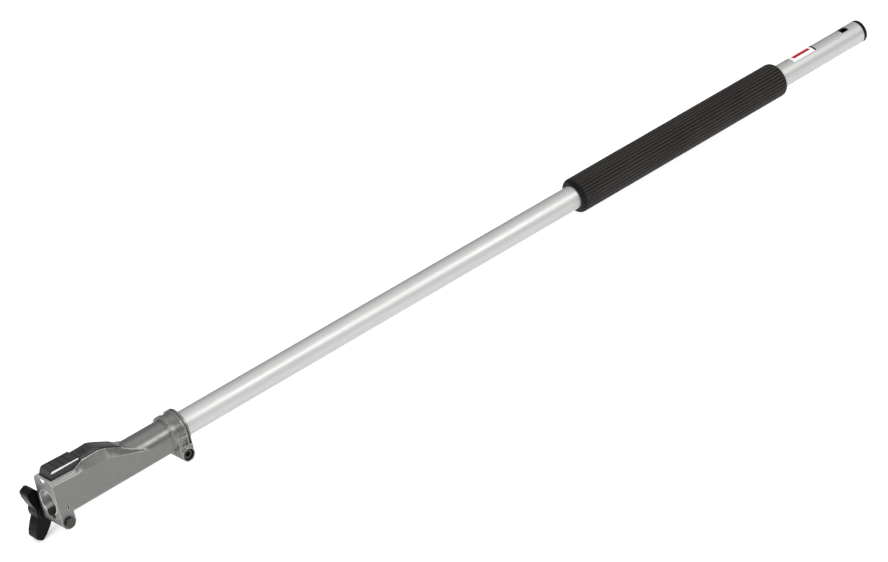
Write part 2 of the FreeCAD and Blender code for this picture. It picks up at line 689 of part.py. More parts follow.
# return spring round the pin's stem, between its flange and the cover's roof
cell("spring_low", VAL["pin_flange_z"] + 1.4 + VAL["spring_wire"] / 2 + 0.02)
cell("spring_high", 29.2 - VAL["spring_wire"] / 2 - 0.02)
helix = doc.addObject("Part::Helix", "spring_line")
helix.SegmentLength = 1.0
bind(helix, "Radius", "spring_rad")
bind(helix, "Height", "spring_high - spring_low")
bind(helix, "Pitch", "(spring_high - spring_low) / spring_turns")
helix.Radius, helix.Height, helix.Pitch = num("spring_rad"), num("spring_high - spring_low"), num("(spring_high - spring_low) / spring_turns")
place(helix, "latch_x", 0, "spring_low")
wire_section = doc.addObject("Part::Circle", "spring_wire_section")
bind(wire_section, "Radius", "spring_wire / 2")
wire_section.Radius = num("spring_wire / 2")
place(wire_section, "latch_x + spring_rad", 0, "spring_low", FreeCAD.Rotation(V(1, 0, 0), 90))
spring = doc.addObject("Part::Sweep", "LatchSpring")
spring.Sections = [wire_section]
spring.Spine = (helix, [])
spring.Solid = True
spring.Frenet = True
node(spring, "latch_spring")

cover_b = body("LatchCover")
secs = []
for i in range(len(COVER)):
    s = sketch(cover_b, "cover_section_%d" % i, "YZ_Plane", "cover_x_%d" % i)
    fw, fz, cw, cz = ["cover_%s_%d" % (k, i) for k in ("fw", "fz", "cw", "cz")]
    poly(s, [("-" + fw, fz + " + 0.02"), ("-" + cw + " - 0.35", "(" + cz + ") - 0.42 * (" + cz + " - " + fz + ")"), ("-" + cw + " + 0.6", cz),
             (cw + " - 0.6", cz), (cw + " + 0.35", "(" + cz + ") - 0.42 * (" + cz + " - " + fz + ")"), (fw, fz + " + 0.02")])
    secs.append(s)
lo = cover_b.newObject("PartDesign::AdditiveLoft", "cover_loft")
lo.Profile = secs[0]
lo.Sections = secs[1:]
lo.Ruled = True
cover_b.Tip = lo
skirt = cut("CoverSkirt", box("skirt_block", 39.0, "-cover_pocket_half + 0.15", 24, 19.0, "2 * cover_pocket_half - 0.3", 5.2), [
    box("skirt_room", 40.3, -6.4, 20, 16.4, 12.8, 12)])
cover = cut("CoverCut", fuse("CoverBlank", [cover_b, skirt, cyl("cover_boss", 2.6, 2.0, "latch_x", 0, 29.6, "Z")]), [
    box("cover_room", 40.3, -6.4, 20, 16.4, 12.8, 9.2),
    cyl("stem_hole", "pin_stem_rad + 0.3", 10, "latch_x", 0, 27, "Z"),
    cut("boss_moat", cyl("boss_moat_out", 3.5, 5, "latch_x", 0, 30.7, "Z"), [cyl("boss_moat_in", 2.5, 8, "latch_x", 0, 29, "Z")]),
    housing,
])
node(cover, "latch_cover")

# ------------------------------------------------------------------- mouth clamp
bolt_b = body("ClampBolt")
s = sketch(bolt_b, "bolt_head_outline", "XZ_Plane", "side_half")
hexp = []
for k in range(6):
    a = math.radians(60 * k + 2.2)
    hexp.append((math.cos(a), math.sin(a)))
pts = []
for cx, cz in hexp:
    ex = ("lug_x + bolt_head_flat * %.6f" % (cx / math.sqrt(3))) if cx >= 0 else ("lug_x - bolt_head_flat * %.6f" % (-cx / math.sqrt(3)))
    ez = ("lug_z + bolt_head_flat * %.6f" % (cz / math.sqrt(3))) if cz >= 0 else ("lug_z - bolt_head_flat * %.6f" % (-cz / math.sqrt(3)))
    pts.append((ex, ez))
poly(s, pts)
pad(bolt_b, "bolt_head", s, "bolt_head_high")
doc.recompute()
s = sketch(bolt_b, "bolt_shank_outline", "XZ_Plane", "side_half")
circle(s, "bolt_rad", "lug_x", "lug_z")
pad(bolt_b, "bolt_shank", s, 44.0, rev=True)
doc.recompute()
crown = cut("BoltCrownTool", cyl("crown_out", 9, 1.2, "lug_x", "-side_half - bolt_head_high - 0.3", "lug_z", "Y"),
            [cone("crown_in", 4.55, 6.6, 1.2, "lug_x", "-side_half - bolt_head_high - 0.3", "lug_z", "Y")])
node(cut("BoltCrowned", bolt_b, [crown]), "clamp_bolt")

washer = cut("Washer", cyl("washer_disc", "washer_rad", "washer_thick", "lug_x", "side_half + 0.06", "lug_z", "Y"),
             [cyl("washer_hole", 3.3, 10, "lug_x", "side_half - 2", "lug_z", "Y")])
node(washer, "clamp_washer")

insert = cut("InsertSolid", fuse("InsertBlank", [
    cyl("insert_body", 4.6, 10.0, "lug_x", 17.36, "lug_z", "Y"),
    cyl("insert_rib_a", 5.0, 3.5, "lug_x", 18.4, "lug_z", "Y"),
    cyl("insert_rib_b", 5.0, 3.5, "lug_x", 23.2, "lug_z", "Y"),
]), [cyl("insert_thread", 3.07, 20, "lug_x", 10, "lug_z", "Y")])
node(insert, "knob_insert")

# three-lobed knob: one lobe padded and turned into three, on a domed hub
knob_b = body("KnobLobes")
knob_b.Placement = FreeCAD.Placement(V(VAL["lug_x"], 0, VAL["lug_z"]), FreeCAD.Rotation(V(0, 1, 0), 3.0))
knob_b.setExpression(".Placement.Base.x", E("lug_x"))
knob_b.setExpression(".Placement.Base.z", E("lug_z"))
s = sketch(knob_b, "lobe_outline", "XZ_Plane", "-knob_near")
poly(s, [(0.0, -8.2), ("knob_reach - 14.2", -7.4), ("knob_reach - 6.2", -6.2), ("knob_reach - 1.6", -4.6), ("knob_reach", -2.8), ("knob_reach", 2.8),
         ("knob_reach - 1.6", 4.6), ("knob_reach - 6.2", 6.2), ("knob_reach - 14.2", 7.4), (0.0, 8.2)])
lobe = pad(knob_b, "lobe_pad", s, "knob_far - knob_near", rev=True)
doc.recompute()
pp = knob_b.newObject("PartDesign::PolarPattern", "lobes")
pp.Originals = [lobe]
pp.Axis = (plane_axis(knob_b, "Y_Axis"), [""])
pp.Angle = 360.0
pp.Occurrences = 3
knob_b.Tip = pp
doc.recompute()
knob = cut("KnobSolid", fuse("KnobBlank", [
    knob_b,
    cyl("knob_hub_near", 11.0, 3.0, "lug_x", 17.36, "lug_z", "Y"),
    cyl("knob_hub", 12.2, "knob_far - knob_near + 2.2", "lug_x", "knob_near", "lug_z", "Y"),
]), [
    cyl("knob_insert_seat", 5.0, 10.2, "lug_x", 17.2, "lug_z", "Y"),
    cyl("knob_bolt_room", 3.6, 14.2, "lug_x", 17.2, "lug_z", "Y"),
])
node(knob, "clamp_knob")

# ------------------------------------------------------------------ collar screw
scr_blank = fuse("ScrewBlank", [
    cyl("screw_head", 5.0, 4.4, "ear_x", "-ear_near + 2.0", "ear_z", "Y"),
    cyl("screw_shank", 3.0, 28.0, "ear_x", "-ear_near + 6.3", "ear_z", "Y"),
])
hexsock = doc.addObject("Part::Prism", "screw_socket")
hexsock.Polygon = 6
hexsock.Circumradius = 2.9
hexsock.Height = 4.0
place(hexsock, "ear_x", "-ear_near + 1.5", "ear_z", ROT["Y"])
node(cut("ScrewCut", scr_blank, [hexsock]), "collar_screw")

doc.recompute()

# ----------------------------------------------------------------- check and write
bad = []
for o in doc.Objects:
    st = [x for x in o.State if x in ("Invalid", "Error")]
    if st:
        bad.append((o.Name, st))
for o in NODES:
    sh = o.Shape
    if sh.isNull() or not sh.isValid() or len(sh.Solids) < 1:
        bad.append((o.Label, "null" if sh.isNull() else "valid %s solids %d" % (sh.isValid(), len(sh.Solids))))
if bad:
    raise SystemExit("failed objects: %r" % bad)
for o in NODES:
    bb = o.Shape.BoundBox
    print("%-24s solids %2d  vol %10.1f  x %.2f..%.2f  y %.2f..%.2f  z %.2f..%.2f" % (
        o.Label, len(o.Shape.Solids), o.Shape.Volume, bb.XMin, bb.XMax, bb.YMin, bb.YMax, bb.ZMin, bb.ZMax))
for o in NODES:
    o.Shape.exportStep("parts/" + o.Label + ".step")
print("nodes", len(NODES))
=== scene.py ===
import json
import math

import bmesh
import bpy
import numpy as np
from mathutils import Matrix, Vector


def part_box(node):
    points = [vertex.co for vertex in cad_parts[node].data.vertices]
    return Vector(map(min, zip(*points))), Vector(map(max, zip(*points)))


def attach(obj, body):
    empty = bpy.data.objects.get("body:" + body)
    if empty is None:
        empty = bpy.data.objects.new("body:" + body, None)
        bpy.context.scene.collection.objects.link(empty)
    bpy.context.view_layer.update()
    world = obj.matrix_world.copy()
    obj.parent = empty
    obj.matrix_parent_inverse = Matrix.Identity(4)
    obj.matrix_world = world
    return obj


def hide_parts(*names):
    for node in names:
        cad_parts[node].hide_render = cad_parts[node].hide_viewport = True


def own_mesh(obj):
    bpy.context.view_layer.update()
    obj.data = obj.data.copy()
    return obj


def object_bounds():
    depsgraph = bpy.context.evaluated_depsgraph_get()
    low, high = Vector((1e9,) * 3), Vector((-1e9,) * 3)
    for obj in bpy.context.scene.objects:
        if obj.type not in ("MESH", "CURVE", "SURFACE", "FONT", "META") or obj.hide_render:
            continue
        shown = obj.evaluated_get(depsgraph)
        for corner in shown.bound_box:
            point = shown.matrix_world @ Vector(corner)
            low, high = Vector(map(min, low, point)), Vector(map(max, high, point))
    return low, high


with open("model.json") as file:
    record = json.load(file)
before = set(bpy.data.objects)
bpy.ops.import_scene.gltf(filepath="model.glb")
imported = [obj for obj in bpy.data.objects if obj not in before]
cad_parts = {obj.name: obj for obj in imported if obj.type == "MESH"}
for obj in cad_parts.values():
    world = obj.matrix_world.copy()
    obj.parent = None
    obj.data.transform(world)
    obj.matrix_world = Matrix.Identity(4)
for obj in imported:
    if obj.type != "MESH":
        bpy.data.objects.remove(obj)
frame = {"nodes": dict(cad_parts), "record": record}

CAD_LO, CAD_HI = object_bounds()
MM = 0.001
nodes = frame["nodes"]
scene = bpy.context.scene


# ------------------------------------------------------------------ material kit
class Mat:
    """A small builder for node materials: object-space coordinates, in metres."""

    def __init__(self, name):
        self.m = bpy.data.materials.new(name)
        self.m.use_nodes = True
        self.t = self.m.node_tree
        self.t.nodes.clear()
        self.out = self.n("ShaderNodeOutputMaterial")
        self.b = self.n("ShaderNodeBsdfPrincipled")
        self.link(self.b, "BSDF", self.out, "Surface")
        self.co = self.n("ShaderNodeTexCoord")
        self.rounded = None

    def n(self, kind, **kw):
        node = self.t.nodes.new(kind)
        for k, v in kw.items():
            setattr(node, k, v)
        return node

    def link(self, a, ao, b, bi):
        self.t.links.new(a.outputs[ao], b.inputs[bi])

    def set(self, **kw):
        for k, v in kw.items():
            self.b.inputs[k.replace("_", " ")].default_value = v

    def mapped(self, scale, rot=(0, 0, 0), loc=(0, 0, 0)):
        mp = self.n("ShaderNodeMapping")
        mp.inputs["Scale"].default_value = scale
        mp.inputs["Rotation"].default_value = rot
        mp.inputs["Location"].default_value = loc
        self.link(self.co, "Object", mp, "Vector")
        return mp

    def noise(self, scale, detail=4.0, rough=0.55, stretch=(1, 1, 1), distortion=0.0):
        nz = self.n("ShaderNodeTexNoise")
        nz.inputs["Scale"].default_value = scale
        nz.inputs["Detail"].default_value = detail
        nz.inputs["Roughness"].default_value = rough
        nz.inputs["Distortion"].default_value = distortion
        self.link(self.mapped(stretch), "Vector", nz, "Vector")
        return nz

    def voronoi(self, scale, feature="F1", stretch=(1, 1, 1)):
        v = self.n("ShaderNodeTexVoronoi", feature=feature)
        v.inputs["Scale"].default_value = scale
        self.link(self.mapped(stretch), "Vector", v, "Vector")
        return v

    def ramp(self, src, out, stops):
        r = self.n("ShaderNodeValToRGB")
        els = r.color_ramp.elements
        while len(els) < len(stops):
            els.new(0.5)
        for e, (p, c) in zip(els, stops):
            e.position = p
            e.color = c if len(c) == 4 else (*c, 1)
        self.link(src, out, r, "Fac")
        return r

    def maprange(self, src, out, a, b, c, d):
        r = self.n("ShaderNodeMapRange")
        for k, v in (("From Min", a), ("From Max", b), ("To Min", c), ("To Max", d)):
            r.inputs[k].default_value = v
        self.link(src, out, r, "Value")
        return r

    def mixc(self, fac, fac_out, a, b, blend="MIX"):
        mx = self.n("ShaderNodeMix", data_type="RGBA", blend_type=blend)
        if isinstance(fac, (int, float)):
            mx.inputs[0].default_value = fac
        else:
            self.t.links.new(fac.outputs[fac_out], mx.inputs[0])
        for idx, v in ((6, a), (7, b)):
            if isinstance(v, tuple) and not hasattr(v[0], "outputs"):
                mx.inputs[idx].default_value = v if len(v) == 4 else (*v, 1)
            else:
                self.t.links.new(v[0].outputs[v[1]], mx.inputs[idx])
        return mx

    def colour(self, node, out=2):
        self.t.links.new(node.outputs[out], self.b.inputs["Base Color"])

    def rough(self, node, out):
        self.t.links.new(node.outputs[out], self.b.inputs["Roughness"])

    def bump(self, height, out, strength, dist, chain=None):
        bp = self.n("ShaderNodeBump")
        bp.inputs["Strength"].default_value = strength
        bp.inputs["Distance"].default_value = dist
        self.t.links.new(height.outputs[out], bp.inputs["Height"])
        if chain is not None:
            self.t.links.new(chain.outputs["Normal"], bp.inputs["Normal"])
        elif self.rounded is not None:
            self.t.links.new(self.rounded.outputs["Normal"], bp.inputs["Normal"])
        self.t.links.new(bp.outputs["Normal"], self.b.inputs["Normal"])
        return bp

    def edge(self, radius, lo=0.02, hi=0.35):
        """0 on flat faces, 1 along convex and concave edges: how far the rounded normal leaves the true one."""
        bv = self.n("ShaderNodeBevel", samples=6)
        bv.inputs["Radius"].default_value = radius
        geo = self.n("ShaderNodeNewGeometry")
        dot = self.n("ShaderNodeVectorMath", operation="DOT_PRODUCT")
        self.link(bv, "Normal", dot, 0)
        self.t.links.new(geo.outputs["Normal"], dot.inputs[1])
        self.rounded = bv
        return self.maprange(dot, "Value", 1.0 - lo, 1.0 - hi, 0.0, 1.0)

    def shade(self, c, out, dist, amount):
        """Darkens colour c in gaps and inside corners, within dist of another surface."""
        ao = self.n("ShaderNodeAmbientOcclusion", samples=4)
        ao.inputs["Distance"].default_value = dist
        k = self.maprange(ao, "AO", 0.15, 0.85, amount, 0.0)
        return self.mixc(k, "Result", (c, out), (0.004, 0.004, 0.004))

    def math(self, op, a, b=None):
        mt = self.n("ShaderNodeMath", operation=op)
        for i, v in enumerate((a, b)):
            if v is None:
                continue
            if isinstance(v, (int, float)):
                mt.inputs[i].default_value = v
            else:
                self.t.links.new(v[0].outputs[v[1]], mt.inputs[i])
        return mt


def metal(name, colour, rough, metallic=1.0, streak=(1, 1, 1), streak_scale=900, var=0.06, bump=0.15, edge_highlight=0.0, speck=0.0):
    m = Mat(name)
    m.set(Metallic=metallic)
    fine = m.noise(streak_scale, 5, 0.6, streak)
    wide = m.noise(18, 3, 0.5)
    c = m.mixc(wide, "Fac", tuple(x * (1 - var) for x in colour), tuple(min(1, x * (1 + var)) for x in colour))
    c2 = m.mixc(fine, "Fac", (c, 2), tuple(x * (1 + var * 0.8) for x in colour))
    # painted highlight: edges are painted lighter by edge_highlight, where rounded edges would catch the light
    if edge_highlight:
        e = m.edge(0.0007)
        c2 = m.mixc(m.maprange(e, "Result", 0, 1, 0, edge_highlight), "Result", (c2, 2), tuple(min(1, x * 1.9) for x in colour))
    m.colour(c2)
    r = m.maprange(fine, "Fac", 0.3, 0.7, rough * 0.85, rough * 1.18)
    m.rough(r, "Result")
    m.bump(fine, "Fac", bump, 0.00004)
    return m.m


def casting():
    """Grey painted casting; its bright edges are partly wear and partly painted highlight, with painted highlight along
    the creases and on upward-facing faces round the button, and painted shade in gaps; the bore is bare turned metal.
    """
    m = Mat("casting_grey")
    m.set(IOR=1.5)
    wide = m.noise(26, 4, 0.55)
    fine = m.noise(1500, 3, 0.6)
    mid = m.noise(160, 5, 0.6)
    crease_highlight = m.edge(0.0006, 0.006, 0.075)
    e = m.edge(0.0009)
    base, warm, cool = (0.158, 0.158, 0.151), (0.168, 0.166, 0.157), (0.149, 0.151, 0.146)
    c = m.mixc(wide, "Fac", warm, cool)
    c = m.mixc(m.maprange(mid, "Fac", 0.35, 0.7, 0.0, 0.35), "Result", (c, 2), tuple(x * 0.86 for x in base))
    # bright edges: partly wear, partly painted highlight where rounded edges catch the light
    c = m.mixc(m.maprange(e, "Result", 0, 1, 0, 0.75), "Result", (c, 2), (0.62, 0.61, 0.58))
    # painted highlight along the creases
    c = m.mixc(m.maprange(crease_highlight, "Result", 0, 1, 0, 0.62), "Result", (c, 2), (0.66, 0.65, 0.62))
    # bare metal inside the socket
    sep = m.n("ShaderNodeSeparateXYZ")
    m.link(m.co, "Object", sep, "Vector")
    r2 = m.math("ADD", (m.math("MULTIPLY", (sep, "Y"), (sep, "Y")), 0), (m.math("MULTIPLY", (sep, "Z"), (sep, "Z")), 0))
    rad = m.math("SQRT", (r2, 0))
    inner = m.math("LESS_THAN", (rad, 0), 0.01335)
    front = m.math("LESS_THAN", (sep, "X"), 0.070)
    bare = m.math("MULTIPLY", (inner, 0), (front, 0))
    turned = m.noise(1.0, 4, 0.6, (2600, 30, 30))
    silver = m.mixc(turned, "Fac", (0.62, 0.62, 0.61), (0.84, 0.84, 0.83))
    c = m.mixc(bare, 0, (c, 2), (silver, 2))
    c = m.shade(c, 2, 0.0045, 0.88)
    # painted highlight: upward-facing faces round the button and the cover, ahead of X 86 mm and above Z 16.5 mm, are
    # painted lighter
    geo = m.n("ShaderNodeNewGeometry")
    up = m.n("ShaderNodeSeparateXYZ")
    m.t.links.new(geo.outputs["True Normal"], up.inputs["Vector"])
    flat = m.maprange(up, "Z", 0.70, 0.90, 0.0, 0.8)
    ahead = m.math("LESS_THAN", (sep, "X"), 0.086)
    aloft = m.math("GREATER_THAN", (sep, "Z"), 0.0165)
    rim_highlight = m.math("MULTIPLY", (m.math("MULTIPLY", (flat, "Result"), (ahead, 0)), 0), (aloft, 0))
    c = m.mixc(rim_highlight, 0, (c, 2), (0.62, 0.62, 0.60))
    m.colour(c)
    met = m.math("ADD", (m.math("MULTIPLY", (bare, 0), 0.25), 0), 0.75)
    m.t.links.new(met.outputs[0], m.b.inputs["Metallic"])
    r = m.maprange(mid, "Fac", 0.25, 0.75, 0.31, 0.40)
    mx = m.n("ShaderNodeMix", data_type="FLOAT")
    m.t.links.new(bare.outputs[0], mx.inputs[0])
    m.t.links.new(r.outputs["Result"], mx.inputs[2])
    mx.inputs[3].default_value = 0.33
    m.t.links.new(mx.outputs[0], m.b.inputs["Roughness"])
    b1 = m.bump(mid, "Fac", 0.10, 0.0002)
    m.bump(fine, "Fac", 0.25, 0.00003, b1)
    return m.m


def plastic(name, colour, rough, grain=2600, edge_highlight=0.5, bump=0.35, spec=0.25, coat=0.0, bevel_highlight=False):
    m = Mat(name)
    m.set(Specular_IOR_Level=spec, Coat_Weight=coat, Coat_Roughness=0.14)
    wide = m.noise(35, 3, 0.5)
    v = m.voronoi(grain)
    scuff = m.noise(240, 6, 0.7, (1, 0.25, 1))
    c = m.mixc(wide, "Fac", tuple(x * 0.82 for x in colour), tuple(x * 1.25 for x in colour))
    # painted highlight: edges are painted lighter by edge_highlight, where rounded edges would catch the light
    e = m.edge(0.0008)
    c = m.mixc(m.maprange(e, "Result", 0, 1, 0, edge_highlight), "Result", (c, 2), tuple(x * 3.0 + 0.012 for x in colour))
    c = m.mixc(m.maprange(scuff, "Fac", 0.56, 0.75, 0.0, 0.25), "Result", (c, 2), tuple(x * 2.0 + 0.004 for x in colour))
    c = m.shade(c, 2, 0.002, 0.8)
    if not bevel_highlight:
        m.colour(c)
    r = m.maprange(scuff, "Fac", 0.3, 0.7, rough * 0.9, rough * 1.12)
    if bevel_highlight:
        # painted highlight: a light grey colour on the upper side bevel faces of the button, set by position; the lower
        # roughness there is the plastic's own gloss
        sep = m.n("ShaderNodeSeparateXYZ")
        m.link(m.co, "Object", sep, "Vector")
        side = m.math("GREATER_THAN", (m.math("ABSOLUTE", (sep, "Y")), 0), 0.00915)
        high = m.math("GREATER_THAN", (sep, "Z"), 0.0312)
        front = m.math("LESS_THAN", (sep, "X"), 0.0370)
        k = m.math("MULTIPLY", (m.math("MULTIPLY", (side, 0), (high, 0)), 0), (front, 0))
        mx = m.n("ShaderNodeMix", data_type="FLOAT")
        m.t.links.new(k.outputs[0], mx.inputs[0])
        m.t.links.new(r.outputs["Result"], mx.inputs[2])
        mx.inputs[3].default_value = 0.22
        m.colour(m.mixc(k, 0, (c, 2), (0.66, 0.66, 0.655)))
        m.t.links.new(mx.outputs[0], m.b.inputs["Roughness"])
    else:
        m.rough(r, "Result")
    m.bump(v, "Distance", bump, 0.00005)
    return m.m


def foam():
    m = Mat("foam_ribbed")
    m.set(Specular_IOR_Level=0.17)
    cells = m.voronoi(1700)
    wide = m.noise(14, 3, 0.5)
    mid = m.noise(120, 4, 0.6)
    c = m.mixc(wide, "Fac", (0.0066, 0.0050, 0.0040), (0.0098, 0.0073, 0.0057))
    c = m.mixc(m.maprange(mid, "Fac", 0.4, 0.7, 0, 0.4), "Result", (c, 2), (0.0120, 0.0098, 0.0083))
    # painted highlight on the crowns of the ribs and painted shade in the grooves between them, set by radius
    sep = m.n("ShaderNodeSeparateXYZ")
    m.link(m.co, "Object", sep, "Vector")
    r2 = m.math("ADD", (m.math("MULTIPLY", (sep, "Y"), (sep, "Y")), 0), (m.math("MULTIPLY", (sep, "Z"), (sep, "Z")), 0))
    rad = m.math("SQRT", (r2, 0))
    crown_highlight = m.maprange(rad, 0, 0.01866, 0.01882, 0.0, 0.8)
    c = m.mixc(crown_highlight, "Result", (c, 2), (0.034, 0.029, 0.025))
    # painted shade in the grooves
    low = m.maprange(rad, 0, 0.01815, 0.01870, 0.97, 0.0)
    c = m.mixc(low, "Result", (c, 2), (0.0012, 0.0010, 0.0009))
    m.colour(c)
    m.rough(m.maprange(mid, "Fac", 0.3, 0.7, 0.36, 0.46), "Result")
    b1 = m.bump(mid, "Fac", 0.12, 0.0003)
    m.bump(cells, "Distance", 0.35, 0.00012, b1)
    return m.m


def anodised():
    m = Mat("anodised_tube")
    m.set(Metallic=1.0)
    lines = m.noise(1.0, 5, 0.65, (6, 900, 900))
    wide = m.noise(5, 3, 0.5, (0.4, 1, 1))
    c = m.mixc(wide, "Fac", (0.50, 0.503, 0.497), (0.555, 0.555, 0.545))
    c = m.mixc(m.maprange(lines, "Fac", 0.35, 0.7, 0, 0.5), "Result", (c, 2), (0.44, 0.443, 0.44))
    m.colour(c)
    m.rough(m.maprange(lines, "Fac", 0.3, 0.7, 0.50, 0.60), "Result")
    m.bump(lines, "Fac", 0.10, 0.00003)
    return m.m


def label():
    """White film with a red bar along it: the bar lies in the piece's own X and Y range."""
    lo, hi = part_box("spec_label")
    m = Mat("label_film")
    m.set(Roughness=0.5, Specular_IOR_Level=0.2)
    sep = m.n("ShaderNodeSeparateXYZ")
    m.link(m.co, "Object", sep, "Vector")

    def inside(out, a, b, soft):
        up = m.maprange(sep, out, a - soft, a + soft, 0, 1)
        dn = m.maprange(sep, out, b - soft, b + soft, 1, 0)
        mu = m.n("ShaderNodeMath", operation="MULTIPLY")
        m.t.links.new(up.outputs[0], mu.inputs[0])
        m.t.links.new(dn.outputs[0], mu.inputs[1])
        return mu

    x = inside("X", lo.x + 0.0035, hi.x - 0.0030, 0.0002)
    y = inside("Y", -0.0026, 0.0022, 0.0001)
    mu = m.n("ShaderNodeMath", operation="MULTIPLY")
    m.t.links.new(x.outputs[0], mu.inputs[0])
    m.t.links.new(y.outputs[0], mu.inputs[1])
    nz = m.noise(90, 3, 0.5)
    paper = m.mixc(nz, "Fac", (0.80, 0.80, 0.79), (0.86, 0.86, 0.85))
    red = m.mixc(nz, "Fac", (0.36, 0.003, 0.016), (0.46, 0.005, 0.024))
    m.colour(m.mixc(mu, 0, (paper, 2), (red, 2)))
    m.bump(nz, "Fac", 0.05, 0.0001)
    return m.m


MATS = {
    "casting_grey": casting(),
    "anodised": anodised(),
    "foam": foam(),
    "black_plastic": plastic("black_plastic", (0.0042, 0.0038, 0.0038), 0.34, bump=0.22, spec=0.085),
    "button_plastic": plastic("button_plastic", (0.022, 0.0215, 0.0213), 0.40, bump=0.15, edge_highlight=0.0, spec=0.22, bevel_highlight=True),
    "cover_plastic": plastic("cover_plastic", (0.0205, 0.0196, 0.0197), 0.42, bump=0.2, spec=0.3),
    "cap_plastic": plastic("cap_plastic", (0.0045, 0.0045, 0.0047), 0.42, edge_highlight=0.3, spec=0.09),
    "bright_steel": metal("bright_steel", (0.62, 0.62, 0.63), 0.25, streak=(1, 12, 12), streak_scale=240),
    "bearing_steel": metal("bearing_steel", (0.72, 0.72, 0.73), 0.12, bump=0.05),
    "zinc_steel": metal("zinc_steel", (0.55, 0.56, 0.58), 0.33, streak_scale=500, edge_highlight=0.3),
    "black_oxide": metal("black_oxide", (0.060, 0.058, 0.054), 0.42, streak_scale=700, edge_highlight=0.1),
    "spring_steel": metal("spring_steel", (0.42, 0.42, 0.44), 0.30),
    "brass": metal("brass", (0.72, 0.53, 0.24), 0.30, streak_scale=600),
    "sintered_bronze": metal("sintered_bronze", (0.45, 0.30, 0.16), 0.55, streak_scale=1500, bump=0.4),
    "label_white": label(),
    "mark_white": plastic("mark_white", (0.80, 0.80, 0.79), 0.5, edge_highlight=0.0, bump=0.1),
    "mark_black": plastic("mark_black", (0.004, 0.004, 0.004), 0.7, edge_highlight=0.0, bump=0.1, spec=0.05),
    "carrier_plastic": plastic("carrier_plastic", (0.05, 0.05, 0.05), 0.7, edge_highlight=0.1),
}
slot_of = {s["node"]: s["material_slot"] for s in frame["record"]["subparts"]}
for name, ob in nodes.items():
    ob.data.materials.clear()
    ob.data.materials.append(MATS[{"release_button": "button_plastic", "latch_cover": "cover_plastic"}.get(name, slot_of[name])])


# ------------------------------------------------------------------ ribbed foam grip
def ribbed_grip():
    """A foam sleeve with thirty-four soft ribs along it and rounded ends, on the tube."""
    x0, x1 = 0.6650, 0.9635
    top, bore, rnd, ribs, depth = 0.01893, 0.0127, 0.0046, 34, 0.00095
    around = ribs * 12
    st = []  # station: x, outer radius, how much of the rib depth shows
    for k in range(11):
        a = math.pi / 2 * k / 10
        st.append((x0 + rnd * (1 - math.cos(a)), top - rnd * (1 - math.sin(a)), min(1.0, 1.15 * math.sin(a) ** 0.5)))
    n_mid = 70
    for k in range(1, n_mid):
        t = k / n_mid
        st.append((x0 + rnd + (x1 - x0 - 2 * rnd) * t, top, 1.0))
    for k in range(10, -1, -1):
        a = math.pi / 2 * k / 10
        st.append((x1 - rnd * (1 - math.cos(a)), top - rnd * (1 - math.sin(a)), min(1.0, 1.15 * math.sin(a) ** 0.5)))
    rng = np.random.default_rng(7)
    phase = rng.uniform(0, 2 * math.pi, 6)
    th = np.arange(around) * 2 * math.pi / around
    wave = np.abs(np.cos(th * ribs / 2)) ** 0.75  # narrow grooves, broad ribs
    verts, faces = [], []
    for x, r, show in st:
        sag = 0.00004 * (1 + math.sin(x * 61 + phase[0]) * 0.6 + math.sin(x * 143 + phase[1]) * 0.4)
        soft = 0.00003 * (1 + np.sin(th * 3 + x * 40 + phase[2]))
        rr = r - depth * show * (1 - wave) - (sag + soft) * show
        for t_, q_ in zip(th, rr):
            verts.append((x, q_ * math.cos(t_), q_ * math.sin(t_)))
    rows = len(st)
    for i in range(rows - 1):
        for j in range(around):
            k = (j + 1) % around
            faces.append((i * around + j, i * around + k, (i + 1) * around + k, (i + 1) * around + j))
    ia = len(verts)
    for x in (x0, x1):
        for t_ in th:
            verts.append((x, bore * math.cos(t_), bore * math.sin(t_)))
    for j in range(around):
        k = (j + 1) % around
        faces.append((ia + j, ia + k, k, j))
        last = (rows - 1) * around
        faces.append((last + j, last + k, ia + around + k, ia + around + j))
        faces.append((ia + around + j, ia + around + k, ia + k, ia + j))
    me_ = bpy.data.meshes.new("foam_grip_ribbed")
    me_.from_pydata(verts, [], faces)
    bm_ = bmesh.new()
    bm_.from_mesh(me_)
    bmesh.ops.recalc_face_normals(bm_, faces=bm_.faces)
    bm_.to_mesh(me_)
    bm_.free()
    me_.polygons.foreach_set("use_smooth", [True] * len(me_.polygons))
    me_.update()
    ob_ = bpy.data.objects.new("foam_grip_ribbed", me_)
    scene.collection.objects.link(ob_)
    me_.materials.append(MATS["foam"])
    return ob_


